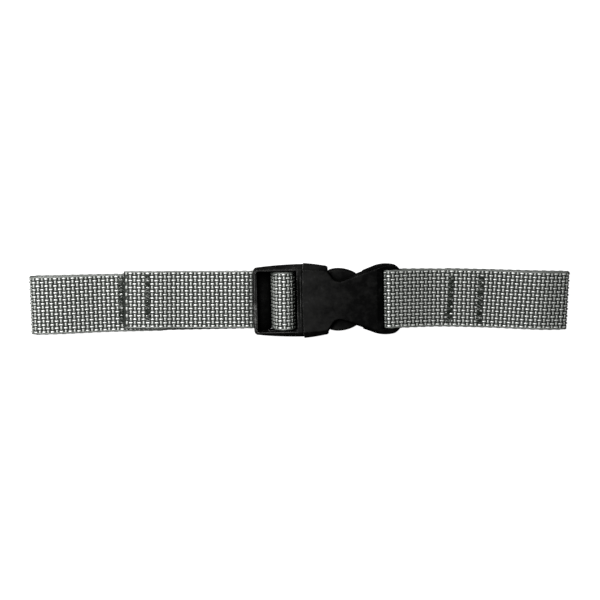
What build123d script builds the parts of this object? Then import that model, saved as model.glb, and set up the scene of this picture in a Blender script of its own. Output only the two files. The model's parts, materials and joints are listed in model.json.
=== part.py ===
from build123d import *
import math
import os

# Driving dimensions, in millimetres.
# The frame: +X runs along the strap from the plug side to the socket side, +Z is up,
# and the strap lies on z = 0 with its length and width centred on the origin.

# Webbing
WEB_WIDTH = 25.4
WEB_THICK = 1.5
LAYER_GAP = 0.15
HALF_LENGTH = 119.6
PLUG_FOLD_RADIUS = 3.3
SOCKET_FOLD_RADIUS = 2.4
LAYER_1 = WEB_THICK / 2
LAYER_2 = LAYER_1 + WEB_THICK + LAYER_GAP
LAYER_3 = LAYER_2 + WEB_THICK + LAYER_GAP
PLUG_SHOULDER = (-104.0, 6.5)
SOCKET_SHOULDER = (108.0, 7.3)
SOCKET_FOLD_TURN = -3.0
SOCKET_FOLD_PIVOT = (112.0, 7.0)
SOCKET_SPLIT_X = 75.0
BAR_CLEARANCE = 0.25

# Stitched bars that close the loops
BARTACK_WIDTH = 2.7
BARTACK_PROUD = 0.3

# Rounding of the moulded edges
EDGE_ROUND = 0.5

# Plug: the adjustable half of the buckle
FRAME_LEFT = -20.9
FRAME_RIGHT = 3.2
FRAME_HALF_WIDTH = 16.1
FRAME_TOP_LEFT = -19.6
FRAME_TOP_HALF_WIDTH = 14.25
FRAME_TOP = 10.6
FRAME_BOTTOM = 0.5
FRAME_WAIST_Z = 7.0
SLOT_HALF_WIDTH = 13.5
OPENING_LEFT = -18.9
OPENING_RIGHT = -1.2
LEDGE_HALF_WIDTH = 13.1
LEDGE_TOP = 7.0
END_BAR_UNDERSIDE = 3.75
END_BAR_TOP = 9.4
LIP_TIP_X = -13.1
LADDER_BAR_X = -6.95
LADDER_BAR_Z = 5.35
LADDER_BAR_RADIUS = 3.6

# Prongs of the plug
ARM_PIVOT_X = 2.6
ARM_PIVOT_Y = 10.1
ARM_ROOT_RADIUS = 1.7
ARM_BOTTOM = 2.5
ARM_TOP = 9.0
GUIDE_HALF_WIDTH = 2.2
GUIDE_TIP_X = 21.0

# Socket: the fixed half of the buckle
SOCKET_TOP = 11.5
SOCKET_WAIST_Z = 8.0
SHELL = 2.0
MOUTH_X = 0.8
MOUTH_BULGE = 0.7
MOUTH_GAP = 0.2
MOUTH_LEAN = 0.12
MOUTH_BEVEL = 0.5
CHANNEL_HALF_WIDTH = 12.4
MOUTH_HALF_WIDTH = 13.4
WINDOW_LEFT = 12.4
CAVITY_END = 27.6
TAIL_SLOT_X = 35.2
TAIL_LIP_X = 36.1
TAIL_LIP_Z = 9.3
TAIL_SLOT_HALF_WIDTH = 13.1
FIXED_BAR_X = 39.5
FIXED_BAR_Z = 6.9
FIXED_BAR_RADIUS = 2.0

# How far the webbing drifts sideways from the buckle's axis
TOP_STRAND_DRIFT = 1.5
PLUG_STRAP_OFFSET = 0.1
SOCKET_STRAP_DRIFT = 3.1


def box_between(low, high):
    """A box from its lowest to its highest corner."""
    size = [b - a for a, b in zip(low, high)]
    centre = [(a + b) / 2 for a, b in zip(low, high)]
    return Pos(*centre) * Box(*size)


def cross_bar(x, z, radius, half_length):
    """A round bar lying across the strap."""
    return Pos(x, 0, z) * Rot(90, 0, 0) * Cylinder(radius, 2 * half_length)


def both_sides(half):
    """A solid together with its mirror image across the XZ plane."""
    return half + mirror(half, Plane.XZ)


def facing_up(outline):
    """The face of a plan outline, with its normal along +Z."""
    face = outline.faces()[0]
    return -face if face.normal_at().Z < 0 else face


def leaning_body(waist, rim, waist_z, bottom_z, top_z):
    """Walls that lean in from a half outline at the waist to a rim with a rounded edge."""
    round_over = [(EDGE_ROUND, 0), (0.3 * EDGE_ROUND, 0.3 * EDGE_ROUND), (0, EDGE_ROUND)]
    stations = [(bottom_z + depth, rim(inset)) for depth, inset in reversed(round_over)]
    stations += [(waist_z, waist)]
    stations += [(top_z - depth, rim(inset)) for depth, inset in round_over]
    sections = [Pos(0, 0, z) * facing_up(outline) for z, outline in stations]
    return both_sides(loft(sections, ruled=True))


def tangent_point(centre, radius, point, turn):
    """Where a line from point touches a circle, on the side that turn (+1 or -1) selects."""
    dx = point[0] - centre[0]
    dz = point[1] - centre[1]
    bearing = math.atan2(dz, dx) + turn * math.acos(radius / math.hypot(dx, dz))
    return (centre[0] + radius * math.cos(bearing), centre[1] + radius * math.sin(bearing))


def side_view(points):
    """Points of the side view, (x, z), as points in space."""
    return [(x, 0, z) for x, z in points]


def ribbon(path, half_width):
    """Webbing of constant thickness that follows a path in the side view."""
    start = Plane(path @ 0, x_dir=(0, 1, 0), z_dir=path % 0)
    return sweep(start * Rectangle(2 * half_width, WEB_THICK), path=path)


def loop_fold(sign, radius, shoulder):
    """The arc of the fold at the far end of a belt loop: its lowest, outermost and last points."""
    centre = (sign * (HALF_LENGTH - LAYER_1 - radius), LAYER_1 + radius)
    bottom = (centre[0], LAYER_1)
    outer = (centre[0] + sign * radius, centre[1])
    top = tangent_point(centre, radius, shoulder, -sign)
    return bottom, outer, top


def arc_middle(centre, radius, start, end):
    """The point half way along the shorter arc between two points of a circle."""
    first = math.atan2(start[1] - centre[1], start[0] - centre[0])
    last = math.atan2(end[1] - centre[1], end[0] - centre[0])
    middle = (first + last) / 2
    return (centre[0] + radius * math.cos(middle), centre[1] + radius * math.sin(middle))


def plan_strip(stations):
    """A strip of webbing seen from above, through (x, y) points along its middle."""
    half = WEB_WIDTH / 2
    upper = [(x, y + half) for x, y in stations]
    lower = [(x, y - half) for x, y in reversed(stations)]
    return extrude(make_face(Polyline(*upper, *lower, close=True)), amount=20)


def plug_strap():
    """One length of webbing: cut end on top, round the ladder bar, back below, and the loop."""
    centre = (LADDER_BAR_X, LADDER_BAR_Z)
    wrap = LADDER_BAR_RADIUS + BAR_CLEARANCE + WEB_THICK / 2
    crest = (centre[0], centre[1] + wrap)
    foot = (centre[0] - 5.4, LAYER_2)
    rise_top = tangent_point(centre, wrap, foot, -1)
    low = (centre[0], centre[1] - wrap)
    bottom, outer, top = loop_fold(-1, PLUG_FOLD_RADIUS, PLUG_SHOULDER)

    top_strand = [(-77.8, LAYER_3), (-61.5, LAYER_3), (-55.0, LAYER_2), foot, rise_top]
    over = FilletPolyline(*side_view(top_strand), radius=1.5)
    over += ThreePointArc(*side_view([rise_top, arc_middle(centre, wrap, rise_top, crest), crest]))
    back = ThreePointArc(*side_view([crest, (centre[0] + wrap, centre[1]), low]))
    back += Line(*side_view([low, bottom]))
    back += ThreePointArc(*side_view([bottom, outer, top]))
    inner_end = [top, PLUG_SHOULDER, (-86.0, LAYER_2), (-61.0, LAYER_2)]
    back += FilletPolyline(*side_view(inner_end), radius=25.0)

    drift = TOP_STRAND_DRIFT
    offset = PLUG_STRAP_OFFSET
    over_plan = plan_strip([(-90, drift), (-77, drift), (-45, offset + 0.3), (0, offset)])
    back_plan = plan_strip([(-130, offset), (0, offset)])
    over_web = ribbon(Wire(over.edges()), 20) & over_plan
    back_web = ribbon(Wire(back.edges()), 20) & back_plan
    return over_web + back_web


def socket_strap():
    """One length of webbing: round the fixed bar, with both ends sewn under the top strand."""
    centre = (FIXED_BAR_X, FIXED_BAR_Z)
    wrap = FIXED_BAR_RADIUS + BAR_CLEARANCE + WEB_THICK / 2
    ramp_foot = (60.0, LAYER_3)
    low_foot = (56.0, LAYER_2)
    ramp_top = tangent_point(centre, wrap, ramp_foot, 1)
    low_top = tangent_point(centre, wrap, low_foot, -1)
    bottom, outer, top = loop_fold(1, SOCKET_FOLD_RADIUS, SOCKET_SHOULDER)

    path = FilletPolyline(*side_view([(84.5, LAYER_2), low_foot, low_top]), radius=12.0)
    path += ThreePointArc(*side_view([low_top, (centre[0] - wrap, centre[1]), ramp_top]))
    to_fold = [ramp_top, ramp_foot, (86.0, LAYER_3), SOCKET_SHOULDER, top]
    path += FilletPolyline(*side_view(to_fold), radius=12.0)
    path += ThreePointArc(*side_view([top, outer, bottom]))
    path += Line(*side_view([bottom, (64.0, LAYER_1)]))

    web = ribbon(Wire(path.edges()), 20)
    split = SOCKET_SPLIT_X
    near = web & box_between((0, -20, -1), (split, 20, 20))
    far = turned_in_plan(web, SOCKET_FOLD_PIVOT, SOCKET_FOLD_TURN)
    far &= box_between((split, -20, -1), (150, 20, 20))

    drift = -SOCKET_STRAP_DRIFT
    bend = [(68, 0.21 * drift), (86, 0.48 * drift), (104, 0.76 * drift), (125, drift)]
    return (near + far) & plan_strip([(30, 0), (45, 0), *bend])


def turned_in_plan(solid, pivot, angle):
    """A solid turned about a vertical line through (x, y)."""
    x, y = pivot
    return Pos(x, y, 0) * Rot(0, 0, angle) * Pos(-x, -y, 0) * solid


def bartack(x, y, length, lean, top_layer_z):
    """A bar of dense stitching through every layer, standing a little proud on top."""
    top = top_layer_z + WEB_THICK / 2 + BARTACK_PROUD
    bar = Box(BARTACK_WIDTH, length, top, align=(Align.CENTER, Align.CENTER, Align.MIN))
    bar = fillet(bar.faces().sort_by(Axis.Z)[-1].edges(), 0.25)
    return Pos(x, y, 0) * Rot(0, 0, lean) * bar


def half_outline(*edges):
    """A plan outline made of edges in order, closed along the buckle's axis."""
    first = edges[0] @ 0
    last = edges[-1] @ 1
    closing = [last, (last.X, 0), (first.X, 0)]
    if first.Y > 0:
        closing.append(first)
    return make_face([*edges, Polyline(*closing)])


def plug_waist():
    """Half of the plug frame in plan, at its widest height."""
    end = ThreePointArc((FRAME_LEFT, 0), (FRAME_LEFT + 0.1, 7), (FRAME_LEFT + 0.5, 13.1))
    corner = ThreePointArc(end @ 1, (FRAME_LEFT + 0.9, 14.3), (FRAME_LEFT + 1.8, 14.95))
    side = ThreePointArc(corner @ 1, (-9.5, 15.8), (FRAME_RIGHT, FRAME_HALF_WIDTH))
    return half_outline(end, corner, side)


def plug_rim(inset):
    """Half of the plug frame in plan near its top: a rectangle with a rounded corner."""
    left = FRAME_TOP_LEFT + inset
    side_y = FRAME_TOP_HALF_WIDTH - inset
    end = Line((left, 0), (left, side_y - 1.4))
    corner = ThreePointArc(end @ 1, (left + 0.4, side_y - 0.4), (left + 1.4, side_y))
    side = Line(corner @ 1, (FRAME_RIGHT, side_y))
    return half_outline(end, corner, side)


def plug_frame():
    """The ladder frame with its bars, the flange at the mouth and the guide prong."""
    body = leaning_body(plug_waist(), plug_rim, FRAME_WAIST_Z, FRAME_BOTTOM, FRAME_TOP)
    body &= ahead_of_mouth(MOUTH_GAP)
    half = SLOT_HALF_WIDTH
    body -= box_between((OPENING_LEFT, -half, -1), (OPENING_RIGHT, half, 20))
    body -= box_between((-30, -half, -1), (OPENING_LEFT, half, END_BAR_UNDERSIDE))
    body -= box_between((-30, -12.4, END_BAR_TOP), (OPENING_LEFT, 12.4, 20))
    body += end_bar_lip()
    body += both_sides(ledge()) + crossbar_foot()
    body += cross_bar(LADDER_BAR_X, LADDER_BAR_Z, LADDER_BAR_RADIUS, half + 0.5)
    body -= crossbar_saddle()
    return body + plug_base() - both_sides(arm_pocket())


def end_bar_lip():
    """The lip of the end bar, leaning down over the webbing towards the ladder bar."""
    profile = [
        (-19.4, END_BAR_UNDERSIDE), (-19.4, 7.0), (-18.9, 7.0), (LIP_TIP_X - 0.5, 4.6),
        (LIP_TIP_X, 4.2), (LIP_TIP_X, END_BAR_UNDERSIDE),
    ]
    return across_opening(profile)


def across_opening(profile):
    """A bar of any section in the side view, from rail to rail of the frame."""
    section = Polyline(*side_view(profile), close=True)
    half = SLOT_HALF_WIDTH + 0.1
    return Pos(0, half, 0) * extrude(make_face(section), amount=2 * half, dir=(0, -1, 0))


def ledge():
    """The step along the foot of a rail that keeps the webbing centred on the ladder bar."""
    low = (LIP_TIP_X - 1.0, LEDGE_HALF_WIDTH, FRAME_BOTTOM)
    high = (OPENING_RIGHT + 0.1, SLOT_HALF_WIDTH + 0.1, LEDGE_TOP)
    return box_between(low, high)


def crossbar_foot():
    """The foot of the crossbar, which reaches a little way under the turn of the webbing."""
    right = OPENING_RIGHT + 0.1
    profile = [(right, FRAME_BOTTOM), (-3.1, FRAME_BOTTOM), (-1.9, 2.8), (right, 2.8)]
    return across_opening(profile)


def crossbar_saddle():
    """The shallow hollow across the top of the crossbar."""
    radius = 30.0
    depth = 2.2
    drum = Rot(0, 90, 0) * Cylinder(radius, 2.0)
    return Pos(-0.8, 0, FRAME_TOP - depth + radius) * drum


def plug_base():
    """The block inside the mouth that carries the arms, and the guide prong in its middle."""
    block = box_between((0.2, -12.0, 2.4), (3.6, 12.0, 9.1))
    prong = box_between((3.0, -GUIDE_HALF_WIDTH, 3.6), (GUIDE_TIP_X, GUIDE_HALF_WIDTH, 7.9))
    tip = prong.faces().sort_by(Axis.X)[-1].edges()
    return block + fillet(tip, 1.2)


def arm_pocket():
    """The room for the round root of an arm, open towards the socket."""
    low = ARM_BOTTOM - 0.1
    high = ARM_TOP + 0.1
    middle = (low + high) / 2
    root = Pos(ARM_PIVOT_X, ARM_PIVOT_Y, middle) * Cylinder(ARM_ROOT_RADIUS + 0.1, high - low)
    mouth = box_between((ARM_PIVOT_X, ARM_PIVOT_Y - 1.95, low), (6, ARM_PIVOT_Y + 1.95, high))
    return root + mouth


def latch_arm(side):
    """A springy side prong: round root, slim blade, and the button with its catch."""
    height = ARM_TOP - ARM_BOTTOM
    blade = Polyline(
        (ARM_PIVOT_X + 0.6, 9.1), (12.0, 9.0), (18.0, 8.5), (23.6, 8.5), (25.0, 9.2), (25.2, 10.7),
        (24.6, 11.5),
    )
    crown = ThreePointArc(blade @ 1, (21.4, 12.95), (17.8, 13.65))
    front = ThreePointArc(crown @ 1, (15.4, 13.6), (13.2, 13.1))
    catch = Polyline(front @ 1, (12.8, 12.7), (12.8, 11.9), (11.5, 11.6), (ARM_PIVOT_X + 0.6, 11.1))
    close = Line(catch @ 1, blade @ 0)
    outline = make_face([blade, crown, front, catch, close])
    arm = Pos(0, 0, ARM_BOTTOM) * extrude(outline, amount=height)
    rims = [e for e in arm.edges() if e.geom_type == GeomType.CIRCLE and e.length > 2]
    arm = fillet(rims, 0.9)
    rib = box_between((13.1, 11.0, ARM_TOP - 0.2), (13.8, 13.0, ARM_TOP + 0.25))
    arm += rib
    arm += Pos(ARM_PIVOT_X, ARM_PIVOT_Y, ARM_BOTTOM + height / 2) * Cylinder(ARM_ROOT_RADIUS, height)
    if side < 0:
        return mirror(arm, Plane.XZ)
    return arm


def socket_waist():
    """Half of the socket in plan at its widest height, running on past the mouth."""
    side = ThreePointArc((-6.0, 16.85), (4.0, 16.4), (10.9, 15.35))
    shoulder = ThreePointArc(side @ 1, (12.2, 14.9), (12.8, 14.0))
    entry = Line(shoulder @ 1, (14.0, 11.3))
    notch = ThreePointArc(entry @ 1, (16.0, 9.5), (18.9, 9.65))
    flare = Line(notch @ 1, (33.1, 15.1))
    cheek = ThreePointArc(flare @ 1, (37.5, 15.75), (41.3, 15.3))
    corner = ThreePointArc(cheek @ 1, (43.0, 14.2), (43.9, 13.1))
    return half_outline(side, shoulder, entry, notch, flare, cheek, corner)


def socket_rim(inset):
    """Half of the socket in plan at its top face, moved inwards by an inset."""
    across = 0.35 * inset
    along = 0.93 * inset
    side = ThreePointArc((-6.0, 14.0 - inset), (4.0, 13.85 - inset), (11.2 - across, 13.2 - along))
    shoulder = ThreePointArc(
        side @ 1, (12.0 - 0.7 * inset, 12.9 - 0.7 * inset), (12.6 - along, 12.2 - across)
    )
    entry = Line(shoulder @ 1, (14.0 - along, 10.1 - across))
    notch = ThreePointArc(
        entry @ 1, (15.7 - across, 8.6 - along), (18.8 + across, 8.5 - along)
    )
    flare = Line(notch @ 1, (33.6 + across, 13.7 - along))
    cheek = ThreePointArc(flare @ 1, (37.4, 14.3 - inset), (40.4, 14.1 - inset))
    corner = ThreePointArc(
        cheek @ 1, (42.0 - across, 13.7 - along), (43.2 - along, 13.0 - across)
    )
    return half_outline(side, shoulder, entry, notch, flare, cheek, corner)


def socket_body():
    """The socket: a hollow shell with a window on each side and the fixed bar at its tail."""
    body = leaning_body(socket_waist(), socket_rim, SOCKET_WAIST_Z, 0, SOCKET_TOP)
    body -= ahead_of_mouth(0)
    body -= mouth_bevel()
    body -= cavity()
    half = TAIL_SLOT_HALF_WIDTH
    body -= box_between((TAIL_SLOT_X, -half, -1), (60, half, TAIL_LIP_Z))
    body -= box_between((TAIL_LIP_X, -half, TAIL_LIP_Z), (60, half, 20))
    body -= tail_slope()
    return body + cross_bar(FIXED_BAR_X, FIXED_BAR_Z, FIXED_BAR_RADIUS, half + 0.6)


def ahead_of_mouth(gap):
    """All the room ahead of the mouth, less a gap. The mouth leans over the plug."""
    floor = -1.0
    edge_x = MOUTH_X - gap + MOUTH_LEAN * (SOCKET_TOP - floor)
    return mouth_cutter(edge_x, floor, (-MOUTH_LEAN, 0, 1))


def mouth_bevel():
    """The slanting edge along the top of the mouth."""
    return mouth_cutter(MOUTH_X, SOCKET_TOP - MOUTH_BEVEL, (1, 0, 1))


def mouth_cutter(edge_x, z, direction):
    """Everything left of the mouth's bulging edge, swept from a height in a direction."""
    side = edge_x + MOUTH_BULGE
    edge = ThreePointArc((side, -20), (edge_x, 0), (side, 20))
    rest = Polyline(edge @ 1, (-30, 20), (-30, -20), edge @ 0)
    return Pos(0, 0, z) * extrude(facing_up(make_face([edge, rest])), amount=20, dir=direction)


def cavity():
    """The space for the prongs: a flared mouth, a channel, and the side windows."""
    low = SHELL
    high = SOCKET_TOP - SHELL
    plan = make_face(
        Polyline(
            (-2, -MOUTH_HALF_WIDTH), (3.8, -CHANNEL_HALF_WIDTH), (WINDOW_LEFT, -CHANNEL_HALF_WIDTH),
            (WINDOW_LEFT, -20), (CAVITY_END, -20), (CAVITY_END, 20), (WINDOW_LEFT, 20),
            (WINDOW_LEFT, CHANNEL_HALF_WIDTH), (3.8, CHANNEL_HALF_WIDTH), (-2, MOUTH_HALF_WIDTH),
            close=True,
        )
    )
    return Pos(0, 0, low) * extrude(plan, amount=high - low)


def tail_slope():
    """The plane that drops the top of the socket towards its tail."""
    wedge = Polyline(*side_view([(33.8, 11.5), (45.0, 8.0), (45.0, 12.5), (33.8, 12.5)]), close=True)
    return Pos(0, 20, 0) * extrude(make_face(wedge), amount=40, dir=(0, -1, 0))


BARTACKS = {
    "bartack_plug_loop": (-79.3, 0.9, 20.3, 0.0, LAYER_2),
    "bartack_plug_inner": (-67.3, 2.0, 21.2, 0.0, LAYER_3),
    "bartack_socket_inner": (66.3, -1.4, 20.8, -4.0, LAYER_3),
    "bartack_socket_loop": (79.4, -1.7, 20.8, -4.0, LAYER_3),
}


def build():
    """Every node by name, with the webbing pierced where its stitching runs through."""
    nodes = {name: bartack(*place) for name, place in BARTACKS.items()}
    plug_web = plug_strap()
    plug_web -= nodes["bartack_plug_loop"] + nodes["bartack_plug_inner"]
    socket_web = socket_strap()
    socket_web -= nodes["bartack_socket_inner"] + nodes["bartack_socket_loop"]
    nodes["plug_strap"] = plug_web
    nodes["socket_strap"] = socket_web
    nodes["plug_frame"] = plug_frame()
    nodes["latch_arm_upper"] = latch_arm(1)
    nodes["latch_arm_lower"] = latch_arm(-1)
    nodes["socket_body"] = socket_body()
    return nodes


os.makedirs("parts", exist_ok=True)
for node_name, solid in build().items():
    export_step(solid, f"parts/{node_name}.step")
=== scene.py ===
import json
import math

import bpy
import numpy as np
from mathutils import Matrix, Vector


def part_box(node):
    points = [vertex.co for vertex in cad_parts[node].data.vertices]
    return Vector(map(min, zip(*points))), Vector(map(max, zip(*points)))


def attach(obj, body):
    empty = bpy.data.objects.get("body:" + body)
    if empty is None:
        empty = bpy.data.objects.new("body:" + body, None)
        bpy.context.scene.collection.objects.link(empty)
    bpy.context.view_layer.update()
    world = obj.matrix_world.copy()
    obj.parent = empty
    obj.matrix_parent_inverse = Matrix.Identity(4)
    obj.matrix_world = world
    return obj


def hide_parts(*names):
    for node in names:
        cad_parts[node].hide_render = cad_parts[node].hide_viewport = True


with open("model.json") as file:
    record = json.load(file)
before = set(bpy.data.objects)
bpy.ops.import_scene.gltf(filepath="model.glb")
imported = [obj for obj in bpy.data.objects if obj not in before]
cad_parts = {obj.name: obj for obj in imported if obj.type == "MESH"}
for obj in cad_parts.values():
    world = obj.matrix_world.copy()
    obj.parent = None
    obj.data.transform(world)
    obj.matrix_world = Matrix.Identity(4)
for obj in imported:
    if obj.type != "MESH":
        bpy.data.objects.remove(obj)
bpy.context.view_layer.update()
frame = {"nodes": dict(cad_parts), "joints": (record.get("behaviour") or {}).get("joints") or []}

# Lengths below are in millimetres; MM turns them into Blender's metres.
MM = 0.001

# Webbing: the heights of the middles of the stacked layers
LAYER_1 = 0.75
LAYER_2 = 2.4
LAYER_3 = 4.05

# Weave: warp runs along the strap, weft crosses it
PICK_PITCH = 1.92
PICK_SWAY = 0.08
ROWS = 16
ROW_PITCH = 1.57
SQUARENESS = 4.0
RINGS_PER_PICK = 5
WARP_RISE = 0.42
WARP_HALF_WIDTH = 0.38
WARP_HALF_THICK = 0.22
WARP_END = 0.15
WEFT_RISE = 0.22
WEFT_HALF_WIDTH = 0.5
WEFT_HALF_THICK = 0.2
WEFT_TURN = 12.35
CORE_HALF_WIDTH = 11.9
CORE_HALF_THICK = 0.16
CORE_STEP = 0.8
EDGE_CORD = 12.4
EDGE_CORD_RADIUS = 0.4

# Cut end: a fused bead and the darkened stretch behind it
SINGED = 2.2
BEAD_HALF_LENGTH = 12.4
BEAD_RINGS = 90
BEAD_HALF_WIDTH = 0.2
BEAD_HALF_THICK = 0.4

# Plug side's path, as distances from the ladder bar, the cut end and the bartacks
LADDER_WRAP = 4.6
LADDER_FOOT_START = 9.2
LADDER_FOOT_END = 5.4
CUT_PAST_TACK = 2.9
INNER_END_PAST_TACK = 7.6
TOP_RUN = 16.3
STEP_DOWN_END = 22.8
PLUG_FOLD_RADIUS = 3.3
PLUG_SHOULDER = (15.6, 6.5)

# Socket side's path, as distances from the fixed bar
FIXED_WRAP = 3.15
FIXED_TOP_FOOT = 20.5
FIXED_LOW_FOOT = 16.5
SOCKET_INNER_END = 45.0
SOCKET_BACK_END = 24.5
SOCKET_FOLD_RADIUS = 2.4
SOCKET_SHOULDER = (11.6, 7.3)
SOCKET_FOLD_TURN = 3.0
SOCKET_FOLD_PIVOT_Y = 7.0
SOCKET_TURN_START = 75.0
SOCKET_TURN_REACH = 20.0

# From the end of either fold to where its upper side lies flat
FLAT_RUN = 33.6

# Stitching
THREAD_RADIUS = 0.18
STITCH_PITCH = 1.15
STITCH_POINTS = 9
STITCH_ARCH = 0.3
STITCH_DEPTH = 0.32
TACK_HALF_WIDTH = 1.5
TACK_PULL = 0.17
SOCKET_TACK_LEAN = -4

# Yarn colours: the darker is painted shade in the hollows of the weave, the paler a painted highlight
# on its crowns (on the sewing thread, its dark and pale strands)
WARP_SHADES = ((0.012, 0.014, 0.012), (0.23, 0.24, 0.225))
WEFT_SHADES = ((0.015, 0.017, 0.015), (0.19, 0.2, 0.185))
THREAD_SHADES = ((0.006, 0.008, 0.006), (0.2, 0.21, 0.195))

# Buckle: how far along X its painted light fades towards the tail and the painted highlight on its end
# bar reaches, in metres
LIGHT_FADE_SPAN = (0.002, 0.028)
END_BAR_HIGHLIGHT_SPAN = (-0.0205, -0.0175)
EDGE_RADIUS = 0.0005
# Most that an edge is paled, partly as wear and partly as a painted highlight, and polished
FULL_EDGE_HIGHLIGHT_AND_WEAR = 0.4

# Camera, in metres and degrees
CAMERA_LENS = 80.8
CAMERA_DISTANCE = 0.6
CAMERA_TILT = -7.0
CAMERA_ROLL = -1.2
CAMERA_AIM_Y = -0.0007

SEED = 11


def mm_box(node):
    """A CAD node's lowest and highest corners in millimetres."""
    low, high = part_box(node)
    return np.array(low) / MM, np.array(high) / MM


def joint_point(name):
    """A joint's position in millimetres."""
    joint = next(j for j in frame["joints"] if j["name"] == name)
    return np.array(joint["pos_m"]) / MM


# ---------------------------------------------------------------- meshes


ROUND = [(math.cos(k * math.pi / 3), math.sin(k * math.pi / 3)) for k in range(6)]
FLAT_OVAL = [
    (1, 0), (0.74, 0.86), (0, 1), (-0.74, 0.86), (-1, 0), (-0.74, -0.86), (0, -1), (0.74, -0.86),
]


def add_piece(name, points, faces, material, smooth=True, attributes=None):
    """A mesh object from points in millimetres."""
    mesh = bpy.data.meshes.new(name)
    mesh.from_pydata((np.asarray(points) * MM).tolist(), [], faces)
    mesh.polygons.foreach_set("use_smooth", [smooth] * len(mesh.polygons))
    for key, values in (attributes or {}).items():
        kind = "FLOAT_VECTOR" if values.ndim == 2 else "FLOAT"
        layer = mesh.attributes.new(key, kind, "POINT")
        layer.data.foreach_set("vector" if values.ndim == 2 else "value", values.ravel())
    mesh.materials.append(material)
    mesh.update()
    piece = bpy.data.objects.new(name, mesh)
    bpy.context.scene.collection.objects.link(piece)
    return piece


class Yarns:
    """Gathers tubes of one section, given as points (across, up), into one mesh."""

    def __init__(self, section):
        self.section = np.array(section)
        self.sides = len(section)
        self.points = []
        self.faces = []
        self.fibre = []
        self.tone = []
        self.lift = []
        self.count = 0

    def add(self, centre, normal, half_width, half_thick, tone, lift=0.5):
        """One tube along centre; half_width lies across normal and half_thick along it."""
        rings = len(centre)
        tangent = unit(np.gradient(centre, axis=0))
        side = unit(np.cross(normal, tangent))
        up = np.cross(tangent, side)
        width = np.broadcast_to(half_width, rings)[:, None, None]
        thick = np.broadcast_to(half_thick, rings)[:, None, None]
        over = self.section[None, :, :1]
        rise = self.section[None, :, 1:]
        ring = centre[:, None] + side[:, None] * width * over + up[:, None] * thick * rise
        along = np.concatenate([[0], np.cumsum(np.linalg.norm(np.diff(centre, axis=0), axis=1))])
        self.fibre.append(np.stack(
            [
                np.broadcast_to(along[:, None], (rings, self.sides)),
                np.broadcast_to(self.section[:, 0], (rings, self.sides)),
                np.broadcast_to(self.section[:, 1] + 10 * tone, (rings, self.sides)),
            ], axis=2).reshape(-1, 3))
        self.tone.append(np.full(rings * self.sides, tone))
        # lift sets how pale the material makes the tube: a painted highlight where high, painted shade
        # where low; on stitches it picks a strand's own shade
        lift = np.broadcast_to(lift, rings)[:, None]
        self.lift.append(np.broadcast_to(lift, (rings, self.sides)).ravel())
        first = self.count + np.arange(rings - 1)[:, None] * self.sides
        here = np.arange(self.sides)[None]
        after = (here + 1) % self.sides
        quads = np.stack(
            [first + here, first + after, first + self.sides + after, first + self.sides + here],
            axis=2)
        self.faces += quads.reshape(-1, 4).tolist()
        last = self.count + (rings - 1) * self.sides
        self.faces.append([self.count + k for k in reversed(range(self.sides))])
        self.faces.append([last + k for k in range(self.sides)])
        self.points.append(ring.reshape(-1, 3))
        self.count += rings * self.sides

    def piece(self, name, material):
        """The mesh object of all tubes so far."""
        attributes = {
            "fibre": np.concatenate(self.fibre),
            "tone": np.concatenate(self.tone),
            "lift": np.concatenate(self.lift),
        }
        points = np.concatenate(self.points)
        return add_piece(name, points, self.faces, material, attributes=attributes)


def flat_topped(wave):
    """A sine wave made squarer, so that its crests are broad and level."""
    return np.tanh(SQUARENESS * wave) / math.tanh(SQUARENESS)


def unit(vectors):
    """Vectors scaled to length one."""
    return vectors / np.linalg.norm(vectors, axis=-1, keepdims=True)


# ---------------------------------------------------------------- the straps' paths


def tangent_point(centre, radius, point, turn):
    """Where a line from point touches a circle, on the side that turn (+1 or -1) selects."""
    away = np.subtract(point, centre)
    bearing = math.atan2(away[1], away[0]) + turn * math.acos(radius / np.hypot(*away))
    return (centre[0] + radius * math.cos(bearing), centre[1] + radius * math.sin(bearing))


def arc(centre, radius, start, finish):
    """Points of the clockwise arc between two points of a circle in the side view."""
    first = math.atan2(start[1] - centre[1], start[0] - centre[0])
    last = math.atan2(finish[1] - centre[1], finish[0] - centre[0])
    angles = first - np.linspace(0, (first - last) % (2 * math.pi), 40)
    return np.stack([centre[0] + radius * np.cos(angles), centre[1] + radius * np.sin(angles)], 1)


def run(points, reach):
    """Points along a polyline, its inner corners rounded over a reach either side."""
    points = [np.array(p, float) for p in points]
    path = [points[0]]
    for before, corner, after in zip(points, points[1:], points[2:]):
        back = before - corner
        ahead = after - corner
        start = corner + back * min(reach / np.hypot(*back), 0.5)
        finish = corner + ahead * min(reach / np.hypot(*ahead), 0.5)
        for share in np.linspace(0, 1, 9):
            path.append((1 - share) ** 2 * start + 2 * share * (1 - share) * corner + share**2 * finish)
    path.append(points[-1])
    return np.array(path)


def fold(side, far_x, radius, shoulder):
    """The arc of a belt loop's fold: its centre, its lowest point and where the upper side starts."""
    centre = (far_x - side * (LAYER_1 + radius), LAYER_1 + radius)
    bottom = (centre[0], LAYER_1)
    top = tangent_point(centre, radius, shoulder, -side)
    return centre, bottom, top


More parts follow.
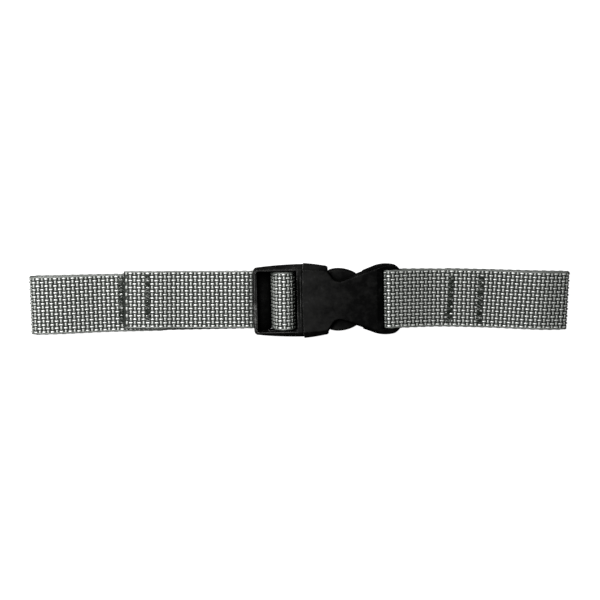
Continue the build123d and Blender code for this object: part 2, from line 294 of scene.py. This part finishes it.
def plug_path():
    """The plug side's webbing: cut end, over the ladder bar, back below, fold, inner end."""
    x, _, z = joint_point("plug_strap_swivel")
    bar = (x, z)
    before_foot = (x - LADDER_FOOT_START, LAYER_2)
    foot = (x - LADDER_FOOT_END, LAYER_2)
    over = tangent_point(bar, LADDER_WRAP, foot, -1)
    under = (x, z - LADDER_WRAP)
    far_x = mm_box("plug_strap")[0][0]
    shoulder = (far_x + PLUG_SHOULDER[0], PLUG_SHOULDER[1])
    curl, bottom, top = fold(-1, far_x, PLUG_FOLD_RADIUS, shoulder)
    cut = mm_box("bartack_plug_loop")[0][0] + CUT_PAST_TACK
    inner_end = mm_box("bartack_plug_inner")[0][0] + INNER_END_PAST_TACK
    step_start = (cut + TOP_RUN, LAYER_3)
    step_end = (cut + STEP_DOWN_END, LAYER_2)
    return np.concatenate([
        run([(cut, LAYER_3), step_start, step_end, before_foot], 3.0),
        run([before_foot, foot, over], 1.3),
        arc(bar, LADDER_WRAP, over, under),
        arc(curl, PLUG_FOLD_RADIUS, bottom, top),
        run([top, shoulder, (far_x + FLAT_RUN, LAYER_2), (inner_end, LAYER_2)], 7.0),
    ])


def socket_path():
    """The socket side's webbing: inner end, round the fixed bar, fold, and back below."""
    x, _, z = joint_point("socket_strap_swivel")
    bar = (x, z)
    foot = (x + FIXED_TOP_FOOT, LAYER_3)
    low_foot = (x + FIXED_LOW_FOOT, LAYER_2)
    over = tangent_point(bar, FIXED_WRAP, foot, 1)
    under = tangent_point(bar, FIXED_WRAP, low_foot, -1)
    far_x = -mm_box("plug_strap")[0][0]
    shoulder = (far_x - SOCKET_SHOULDER[0], SOCKET_SHOULDER[1])
    curl, bottom, top = fold(1, far_x, SOCKET_FOLD_RADIUS, shoulder)
    return np.concatenate([
        run([(x + SOCKET_INNER_END, LAYER_2), low_foot, under], 4.0),
        arc(bar, FIXED_WRAP, under, over),
        run([over, foot, (far_x - FLAT_RUN, LAYER_3), shoulder, top], 4.0),
        arc(curl, SOCKET_FOLD_RADIUS, top, bottom),
        run([bottom, (x + SOCKET_BACK_END, LAYER_1)], 1.0),
    ])


def straight_fold(points):
    """The plug side's fold lies square across the strap."""
    return points


def turned_fold(points):
    """The socket side's fold lies a few degrees off square, so its end is slanting."""
    share = np.clip((points[..., 0] - SOCKET_TURN_START) / SOCKET_TURN_REACH, 0, 1)
    slope = math.tan(math.radians(SOCKET_FOLD_TURN))
    points[..., 0] += slope * (points[..., 1] - SOCKET_FOLD_PIVOT_Y) * share
    return points


def smooth(values, steps):
    """Values eased by a Gaussian of so many steps, with the ends held."""
    reach = 4 * steps
    kernel = np.exp(-0.5 * (np.arange(-reach, reach + 1) / steps) ** 2)
    padded = np.pad(values, reach, mode="reflect", reflect_type="odd")
    return np.convolve(padded, kernel / kernel.sum(), mode="valid")


class Strap:
    """A length of webbing: turns (along, across, height) into points in space."""

    STEP = 0.1
    BEND_EASE = 6
    DRIFT_EASE = 40

    def __init__(self, path, drift, bend, tacks, rng):
        steps = np.linalg.norm(np.diff(path, axis=0), axis=1)
        path = path[np.concatenate([[True], steps > 1e-6])]
        along = np.concatenate([[0], np.cumsum(np.linalg.norm(np.diff(path, axis=0), axis=1))])
        self.length = along[-1]
        self.along = np.arange(0, self.length, self.STEP)
        x = smooth(np.interp(self.along, along, path[:, 0]), self.BEND_EASE)
        z = smooth(np.interp(self.along, along, path[:, 1]), self.BEND_EASE)
        y = smooth(drift(self.along, x), self.DRIFT_EASE)
        self.line = np.stack([x, y, z], 1)
        ahead = unit(np.gradient(self.line, axis=0))
        self.normal = unit(np.stack([-ahead[:, 2], 0 * x, ahead[:, 0]], 1))
        self.across = np.cross(self.normal, ahead)
        self.tacks = tacks
        self.bend = bend
        self.picks = int(self.length / PICK_PITCH)
        sway = rng.normal(0, PICK_SWAY, self.picks + 3)
        self.pick_places = (np.arange(self.picks + 1) + 0.5) * self.length / (self.picks + 1)
        self.pick_places = self.pick_places + smooth(sway, 1)[: self.picks + 1]

    def at(self, along, table):
        """A table of vectors read at distances along the strap."""
        return np.stack([np.interp(along, self.along, table[:, k]) for k in range(3)], -1)

    def place(self, along, across, height):
        """Points and normals for strap coordinates, pressed together where it is sewn."""
        along = np.asarray(along, float)
        normal = self.at(along, self.normal)
        points = self.at(along, self.line)
        points = points + normal * np.asarray(height)[..., None]
        points = self.bend(points + self.at(along, self.across) * np.asarray(across)[..., None])
        for tack in self.tacks:
            tack.press(points)
        return points, normal

    def pick_number(self, along):
        """How many weft yarns have passed at a distance along the strap."""
        return np.interp(along, self.pick_places, np.arange(self.picks + 1))


class Tack:
    """A bar of stitching through a stack of webbing, placed by its CAD node."""

    def __init__(self, node, lean):
        low, high = mm_box(node)
        self.node = node
        self.centre = (low + high) / 2
        self.lean = math.radians(lean)
        self.half_length = (high[1] - low[1]) / 2 / math.cos(self.lean) - 0.1
        self.top = high[2] - 1.05
        self.middle = (self.top + LAYER_1) / 2

    def local(self, points):
        """Coordinates across and along the bar."""
        dx = points[..., 0] - self.centre[0]
        dy = points[..., 1] - self.centre[1]
        cosine = math.cos(self.lean)
        sine = math.sin(self.lean)
        return dx * cosine + dy * sine, dy * cosine - dx * sine

    def press(self, points):
        """Pulls the layers together under the stitches."""
        across, along = self.local(points)
        inside = np.clip((self.half_length + 1.0 - np.abs(along)) / 1.5, 0, 1)
        pull = TACK_PULL * np.exp(-((across / TACK_HALF_WIDTH) ** 2)) * inside
        points[..., 2] = self.middle + (points[..., 2] - self.middle) * (1 - pull)


def plug_drift(along, x):
    """Sideways place of the plug side's webbing: its cut end sits a little to one side."""
    return np.interp(along, (0, 33, 58, 74), (1.5, 0.65, 0.25, 0.0))


def socket_drift(along, x):
    """Sideways place of the socket side's webbing, which veers off the buckle's axis."""
    return np.interp(x, (45, 68, 86, 104, 125), (0, -0.65, -1.49, -2.36, -3.1))


# ---------------------------------------------------------------- weaving


def warp(strap, name, material, rng):
    """The lengthwise yarns, each passing over and under the weft in turn."""
    yarns = Yarns(FLAT_OVAL)
    rings = int(strap.length / PICK_PITCH * RINGS_PER_PICK)
    along = np.linspace(WARP_END, strap.length - WARP_END, rings)
    for row in range(ROWS):
        phase = math.pi * (strap.pick_number(along) + row)
        wobble = smooth(rng.normal(0, 0.05, rings), 9)
        across = (row - (ROWS - 1) / 2) * ROW_PITCH + wobble
        height = WARP_RISE * flat_topped(np.cos(phase))
        centre, normal = strap.place(along, across, height)
        # crown widens the yarn on its crests and sets the painted highlight there; it is lower near the
        # fused cut end
        crown = np.abs(np.cos(phase)) ** 0.33 * np.clip(along / SINGED, 0.3, 1)
        half_width = WARP_HALF_WIDTH * (0.7 + 0.4 * crown)
        yarns.add(centre, normal, half_width, WARP_HALF_THICK, rng.uniform(), crown)
    return yarns.piece(name, material)


def weft(strap, name, material, rng):
    """The crosswise yarn, which turns round the outermost warp at each edge."""
    pieces = []
    lifts = []
    for pick, place in enumerate(strap.pick_places):
        direction = 1 if pick % 2 else -1
        across = np.linspace(-WEFT_TURN, WEFT_TURN, 4 * ROWS + 1) * direction
        row = across / ROW_PITCH + (ROWS - 1) / 2
        wave = np.cos(math.pi * (pick + row))
        height = -WEFT_RISE * flat_topped(wave)
        # lifts: a painted highlight on the weft's crests, dimmer in its turns round the edges
        lifts.append(0.8 + 0.1 * wave**2)
        sway = 0.05 * np.sin(across * 0.25 + rng.uniform(0, 6))
        pieces.append(np.stack([place + sway, across, height], 1))
        if pick < strap.picks:
            gap = strap.pick_places[pick + 1] - place
            turn = np.linspace(0, math.pi, 7)[1:-1]
            lifts.append(0.6 + 0 * turn)
            pieces.append(np.stack([
                place + gap * (1 - np.cos(turn)) / 2,
                direction * (WEFT_TURN + 0.08 * np.sin(turn)),
                height[-1] * np.cos(turn),
            ], 1))
    line = np.concatenate(pieces)
    centre, normal = strap.place(line[:, 0], line[:, 1], line[:, 2])
    yarns = Yarns(FLAT_OVAL)
    lift = np.concatenate(lifts)
    yarns.add(centre, normal, WEFT_HALF_WIDTH, WEFT_HALF_THICK, rng.uniform(), lift)
    return yarns.piece(name, material)


def edge_cords(strap, name, material, rng):
    """The straight cords inside the turns of the weft, one along each edge."""
    yarns = Yarns(ROUND)
    rings = int(strap.length / PICK_PITCH * 2)
    along = np.linspace(0.1, strap.length - 0.1, rings)
    for side in (-1, 1):
        wobble = smooth(rng.normal(0, 0.04, rings), 3)
        centre, normal = strap.place(along, side * EDGE_CORD + wobble, 0 * along)
        yarns.add(centre, normal, EDGE_CORD_RADIUS, 1.3 * EDGE_CORD_RADIUS, rng.uniform(), 0.7)
    return yarns.piece(name, material)


def core(strap, name, material):
    """A thin ribbon along the middle of the webbing, standing for its inner layer: near black, so that
    the gaps between the yarns show painted shade.
    """
    along = np.arange(0.1, strap.length, CORE_STEP)
    corners = []
    for across, height in ((-1, -1), (1, -1), (1, 1), (-1, 1)):
        side = np.full(len(along), across * CORE_HALF_WIDTH)
        depth = np.full(len(along), height * CORE_HALF_THICK)
        corners.append(strap.place(along, side, depth)[0])
    points = np.stack(corners, 1).reshape(-1, 3)
    faces = [[0, 3, 2, 1]]
    for ring in range(len(along) - 1):
        for k in range(4):
            a = 4 * ring + k
            b = 4 * ring + (k + 1) % 4
            faces.append([a, b, b + 4, a + 4])
    last = 4 * (len(along) - 1)
    faces.append([last, last + 1, last + 2, last + 3])
    return add_piece(name, points, faces, material, smooth=False)


def cut_end(strap, name, material, rng):
    """The fused bead along the cut end of the webbing."""
    across = np.linspace(-BEAD_HALF_LENGTH, BEAD_HALF_LENGTH, BEAD_RINGS)
    along = 0.05 + smooth(rng.normal(0, 0.12, BEAD_RINGS), 2)
    centre, normal = strap.place(along, across, 0 * across)
    yarns = Yarns(FLAT_OVAL)
    bulge = 1 + 0.25 * smooth(rng.normal(0, 1, BEAD_RINGS), 2)
    yarns.add(centre, normal, BEAD_HALF_WIDTH * bulge, BEAD_HALF_THICK * bulge, 0.5, 0.1)
    return yarns.piece(name, material)


def stitch(tack, surface, side, reach, places, rng):
    """The centre line of one stitch across a bar, arching over one face of the webbing."""
    share = np.linspace(0, 1, STITCH_POINTS)
    across = reach[0] * (1 - share) - reach[1] * share
    along = places[0] + (places[1] - places[0]) * share
    arch = np.sin(math.pi * share) ** 0.6
    height = surface + side * (STITCH_ARCH * arch - STITCH_DEPTH + rng.uniform(0, 0.1))
    cosine = math.cos(tack.lean)
    sine = math.sin(tack.lean)
    return np.stack([
        tack.centre[0] + across * cosine - along * sine,
        tack.centre[1] + across * sine + along * cosine,
        np.maximum(height, THREAD_RADIUS + 0.01),
    ], 1)


def stitching(tack, material, rng):
    """Zigzag stitches on both faces of a sewn bar, their ends pulled into the webbing."""
    yarns = Yarns(ROUND)
    normal = np.tile([0.0, 0.0, 1.0], (STITCH_POINTS, 1))
    count = int(2 * tack.half_length / STITCH_PITCH)
    faces = ((tack.top + 0.42, 1), (LAYER_1 - 0.38, -1))
    for surface, side in faces:
        for turn in (1, -1):
            places = np.linspace(-tack.half_length, tack.half_length, count + 1)
            places = places + rng.normal(0, 0.2, count + 1)
            for k in range(count):
                swing = turn if k % 2 else -turn
                reach = swing * (TACK_HALF_WIDTH * rng.uniform(0.6, 1.0, 2))
                centre = stitch(tack, surface, side, reach, places[k : k + 2], rng)
                tone = rng.uniform()
                lift = rng.uniform(0, 0.8)
                yarns.add(centre, normal, THREAD_RADIUS, THREAD_RADIUS, tone, lift)
    return yarns.piece(tack.node.replace("bartack", "stitches"), material)


# ---------------------------------------------------------------- materials


def new_material(name):
    """A material with its node tree and its Principled shader."""
    material = bpy.data.materials.new(name)
    material.use_nodes = True
    tree = material.node_tree
    shader = next(n for n in tree.nodes if n.type == "BSDF_PRINCIPLED")
    return material, tree, shader


def node(tree, kind, **settings):
    """A new node with values set on its properties or, by name, its inputs."""
    made = tree.nodes.new(kind)
    for key, value in settings.items():
        if key in made.inputs:
            made.inputs[key].default_value = value
        else:
            setattr(made, key, value)
    return made


def colour_ramp(tree, stops):
    """A colour ramp from (position, colour) stops."""
    ramp = tree.nodes.new("ShaderNodeValToRGB")
    elements = ramp.color_ramp.elements
    while len(elements) < len(stops):
        elements.new(0.5)
    for element, (position, colour) in zip(elements, stops):
        element.position = position
        element.color = (*colour, 1)
    return ramp


def map_range(tree, value, before, after):
    """A value carried from one range to another and held at its ends."""
    made = tree.nodes.new("ShaderNodeMapRange")
    for key, number in zip(("From Min", "From Max", "To Min", "To Max"), (*before, *after)):
        made.inputs[key].default_value = number
    tree.links.new(value, made.inputs["Value"])
    return made.outputs["Result"]


def combine(tree, operation, first, second):
    """Two values combined by one arithmetic operation; the second may be a number."""
    made = node(tree, "ShaderNodeMath", operation=operation)
    tree.links.new(first, made.inputs[0])
    if isinstance(second, float):
        made.inputs[1].default_value = second
    else:
        tree.links.new(second, made.inputs[1])
    return made.outputs["Value"]


def yarn_material(name, hollow, crown, specular):
    """Spun yarn with fine fibres: painted shade where it dips into the weave and in hollows, a painted
    highlight on its crowns.
    """
    material, tree, shader = new_material(name)
    link = tree.links.new
    fibre = node(tree, "ShaderNodeAttribute", attribute_name="fibre")
    tone = node(tree, "ShaderNodeAttribute", attribute_name="tone")
    lift = node(tree, "ShaderNodeAttribute", attribute_name="lift")
    stretch = node(tree, "ShaderNodeMapping")
    stretch.inputs["Scale"].default_value = (0.6, 4.0, 4.0)
    link(fibre.outputs["Vector"], stretch.inputs["Vector"])
    fibres = node(tree, "ShaderNodeTexNoise", Scale=1.6, Detail=3.0, Roughness=0.6)
    link(stretch.outputs["Vector"], fibres.inputs["Vector"])
    # Painted shade: ambient occlusion darkens the colour and the gloss in hollows and close to other
    # pieces
    hollows = node(tree, "ShaderNodeAmbientOcclusion", samples=8, Distance=0.006)
    open_air = map_range(tree, hollows.outputs["AO"], (0.25, 0.85), (0.3, 1.0))
    # exposed: a painted highlight on high, open crowns, painted shade everywhere else
    exposed = combine(tree, "MULTIPLY", lift.outputs["Fac"], open_air)
    shade = combine(tree, "ADD", exposed, combine(tree, "MULTIPLY", tone.outputs["Fac"], 0.12))
    shade = combine(tree, "ADD", shade, combine(tree, "MULTIPLY", fibres.outputs["Fac"], 0.3))
    middle = tuple(0.25 * c + 0.75 * h for c, h in zip(crown, hollow))
    ramp = colour_ramp(tree, [(0.35, hollow), (0.75, middle), (1.0, crown)])
    link(combine(tree, "MULTIPLY", shade, 0.8), ramp.inputs["Fac"])
    link(ramp.outputs["Color"], shader.inputs["Base Color"])
    bump = node(tree, "ShaderNodeBump", Strength=0.25, Distance=0.0001)
    link(fibres.outputs["Fac"], bump.inputs["Height"])
    link(bump.outputs["Normal"], shader.inputs["Normal"])
    shader.inputs["Roughness"].default_value = 0.5
    shine = map_range(tree, exposed, (0.5, 1.0), (0.0, specular))
    link(shine, shader.inputs["Specular IOR Level"])
    shader.inputs["IOR"].default_value = 2.1
    return material


def ground_shade_material():
    """The near-black ground seen in the gaps of the weave: the webbing's inner layer, coloured as
    painted shade.
    """
    material, tree, shader = new_material("webbing_ground")
    link = tree.links.new
    place = node(tree, "ShaderNodeTexCoord")
    specks = node(tree, "ShaderNodeTexNoise", Scale=2500.0, Detail=2.0)
    link(place.outputs["Object"], specks.inputs["Vector"])
    ramp = colour_ramp(tree, [(0.3, (0.002, 0.003, 0.002)), (0.75, (0.008, 0.009, 0.008))])
    link(specks.outputs["Fac"], ramp.inputs["Fac"])
    link(ramp.outputs["Color"], shader.inputs["Base Color"])
    shader.inputs["Roughness"].default_value = 0.8
    shader.inputs["Specular IOR Level"].default_value = 0.2
    return material


def edge_highlight_and_wear(tree, soft_edge):
    """How far the plastic's edges are paled and polished: nothing on its faces, the full amount on its
    outer and inner edges. The paling is partly wear and partly a painted highlight along the rims.
    """
    surface = node(tree, "ShaderNodeNewGeometry")
    likeness = node(tree, "ShaderNodeVectorMath", operation="DOT_PRODUCT")
    tree.links.new(soft_edge.outputs["Normal"], likeness.inputs[0])
    tree.links.new(surface.outputs["True Normal"], likeness.inputs[1])
    return map_range(tree, likeness.outputs["Value"], (0.95, 0.78), (0.0, FULL_EDGE_HIGHLIGHT_AND_WEAR))


def dust_and_painted_light(tree, place, along_x):
    """Patchy dust, plus painted light: a painted highlight strongest on the end bar, and painted light
    fading towards the tail.
    """
    bloom = node(tree, "ShaderNodeTexNoise", Scale=220.0, Detail=5.0, Roughness=0.7)
    tree.links.new(place.outputs["Object"], bloom.inputs["Vector"])
    # Painted light: lighter towards the mouth and the plug, darker towards the tail
    painted_light_fade = map_range(tree, along_x, LIGHT_FADE_SPAN, (0.3, -0.1))
    # Painted highlight on the end bar
    end_bar_highlight = map_range(tree, along_x, END_BAR_HIGHLIGHT_SPAN, (0.2, 0.0))
    patches = map_range(tree, bloom.outputs["Fac"], (0.3, 0.7), (0.1, 0.9))
    return combine(tree, "ADD", combine(tree, "ADD", patches, painted_light_fade), end_bar_highlight)


def plastic_material():
    """Black moulded acetal: fine grain, dust patches, edges paled by wear and a painted highlight,
    painted light on the end bar and fading towards the tail, and painted shade in hollows.
    """
    material, tree, shader = new_material("black_plastic")
    link = tree.links.new
    place = node(tree, "ShaderNodeTexCoord")
    position = node(tree, "ShaderNodeSeparateXYZ")
    link(place.outputs["Object"], position.inputs["Vector"])
    # Painted shade: ambient occlusion darkens the colour and the gloss in hollows and between parts
    hollows = node(tree, "ShaderNodeAmbientOcclusion", samples=8, Distance=0.008)
    open_air = map_range(tree, hollows.outputs["AO"], (0.45, 0.95), (0.1, 1.0))
    soft_edge = node(tree, "ShaderNodeBevel", samples=6, Radius=EDGE_RADIUS)
    # Edges: paled partly as wear and partly as a painted highlight along the rims, and polished
    edges_lit_and_worn = edge_highlight_and_wear(tree, soft_edge)

    # Colour: dust patches plus painted light, dimmed by painted shade in hollows, then paled at the
    # edges
    dust_and_light = dust_and_painted_light(tree, place, position.outputs["X"])
    dust_and_light = combine(tree, "MULTIPLY", dust_and_light, open_air)
    dust_and_light = combine(tree, "ADD", combine(tree, "MULTIPLY", dust_and_light, 0.8), edges_lit_and_worn)
    colour = colour_ramp(tree, [
        (0.25, (0.0004, 0.0004, 0.0004)),
        (0.8, (0.0045, 0.0045, 0.0043)),
        (0.9, (0.012, 0.012, 0.0117)),
        (1.0, (0.07, 0.07, 0.068)),
    ])
    link(dust_and_light, colour.inputs["Fac"])
    link(colour.outputs["Color"], shader.inputs["Base Color"])

    grain = node(tree, "ShaderNodeTexNoise", Scale=2200.0, Detail=2.0, Roughness=0.6)
    bump = node(tree, "ShaderNodeBump", Strength=0.35, Distance=0.00008)
    link(place.outputs["Object"], grain.inputs["Vector"])
    link(grain.outputs["Fac"], bump.inputs["Height"])
    link(soft_edge.outputs["Normal"], bump.inputs["Normal"])
    link(bump.outputs["Normal"], shader.inputs["Normal"])

    # Gloss: a painted sheen stronger towards the mouth and weaker towards the tail, cut as painted
    # shade in hollows, raised on polished edges
    shine = map_range(tree, position.outputs["X"], LIGHT_FADE_SPAN, (0.035, 0.018))
    shine = combine(tree, "MULTIPLY", shine, open_air)
    polish = combine(tree, "MULTIPLY", edges_lit_and_worn, 0.9)
    link(combine(tree, "ADD", shine, polish), shader.inputs["Specular IOR Level"])
    link(map_range(tree, edges_lit_and_worn, (0.0, FULL_EDGE_HIGHLIGHT_AND_WEAR), (0.55, 0.35)), shader.inputs["Roughness"])
    return material


# ---------------------------------------------------------------- camera, light and floor


def make_camera():
    """The camera: nearly overhead, leaning a little towards +Y, the strap not quite level."""
    lens = bpy.data.cameras.new("camera")
    lens.sensor_width = 36.0
    lens.lens = CAMERA_LENS
    camera = bpy.data.objects.new("camera", lens)
    bpy.context.scene.collection.objects.link(camera)
    camera.rotation_euler = (math.radians(CAMERA_TILT), 0.0, math.radians(CAMERA_ROLL))
    back = camera.rotation_euler.to_matrix() @ Vector((0, 0, 1))
    camera.location = Vector((0, CAMERA_AIM_Y, 0)) + CAMERA_DISTANCE * back
    bpy.context.scene.camera = camera


def area_light(name, location, target, size, power):
    """A square soft light aimed at a point."""
    lamp = bpy.data.lights.new(name, "AREA")
    lamp.size = size
    lamp.energy = power
    light = bpy.data.objects.new(name, lamp)
    bpy.context.scene.collection.objects.link(light)
    light.location = location
    aim = Vector(target) - Vector(location)
    light.rotation_euler = aim.to_track_quat("-Z", "Y").to_euler()


def make_world(brightness):
    """Even dim light from all round."""
    world = bpy.data.worlds.new("world")
    world.use_nodes = True
    background = world.node_tree.nodes["Background"]
    background.inputs["Color"].default_value = (1, 1, 1, 1)
    background.inputs["Strength"].default_value = brightness
    bpy.context.scene.world = world


def make_floor():
    """A plain white sweep, bright enough to lose the shadows on it."""
    material, _, shader = new_material("floor")
    shader.inputs["Base Color"].default_value = (0.1, 0.1, 0.1, 1)
    shader.inputs["Roughness"].default_value = 1.0
    shader.inputs["Specular IOR Level"].default_value = 0.0
    shader.inputs["Emission Color"].default_value = (1, 1, 1, 1)
    shader.inputs["Emission Strength"].default_value = 1.0
    half = 4000.0
    corners = [(-half, -half, -0.05), (half, -half, -0.05), (half, half, -0.05), (-half, half, -0.05)]
    floor = add_piece("floor", corners, [[0, 1, 2, 3]], material, smooth=False)
    floor.visible_diffuse = False
    floor.visible_glossy = False


# ---------------------------------------------------------------- the object


def dress(side, strap, tacks, looks, rng):
    """One strap's pieces, all riding on its webbing body."""
    body = f"{side}_webbing"
    cloth = core(strap, f"{side}_strap_ground", looks["ground"])
    parts = [
        warp(strap, f"{side}_strap_warp", looks["warp"], rng),
        weft(strap, f"{side}_strap_weft", looks["weft"], rng),
        edge_cords(strap, f"{side}_strap_edges", looks["weft"], rng),
    ]
    if side == "plug":
        parts.append(cut_end(strap, "plug_strap_cut_end", looks["weft"], rng))
    for piece in [cloth, *parts]:
        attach(piece, body)
    for tack in tacks:
        sewing = stitching(tack, looks["thread"], rng)
        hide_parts(tack.node)
        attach(sewing, body)
        parts.append(sewing)
    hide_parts(f"{side}_strap")


def make_webbing():
    """Both straps with their weave and their stitching."""
    rng = np.random.RandomState(SEED)
    looks = {
        "warp": yarn_material("warp_yarn", *WARP_SHADES, specular=1.0),
        "weft": yarn_material("weft_yarn", *WEFT_SHADES, specular=0.5),
        "thread": yarn_material("sewing_thread", *THREAD_SHADES, specular=0.4),
        "ground": ground_shade_material(),
    }
    plans = [
        ("plug", plug_path(), plug_drift, straight_fold, 0, ("loop", "inner")),
        ("socket", socket_path(), socket_drift, turned_fold, SOCKET_TACK_LEAN, ("inner", "loop")),
    ]
    for side, path, drift, bend, lean, places in plans:
        tacks = [Tack(f"bartack_{side}_{place}", lean) for place in places]
        strap = Strap(path, drift, bend, tacks, rng)
        dress(side, strap, tacks, looks, rng)


def paint_buckle():
    """The buckle's CAD nodes in black plastic."""
    plastic = plastic_material()
    for name in ("socket_body", "plug_frame", "latch_arm_upper", "latch_arm_lower"):
        mesh = frame["nodes"][name].data
        mesh.materials.clear()
        mesh.materials.append(plastic)


make_camera()
make_world(0.03)
area_light("key", (-0.28, 0.20, 0.54), (0, 0, 0), 0.25, 12.3)
area_light("back", (-0.2, 0.6, 0.25), (0, 0, 0), 0.3, 2.0)
make_floor()
paint_buckle()
make_webbing()
bpy.context.scene.view_settings.view_transform = "Standard"
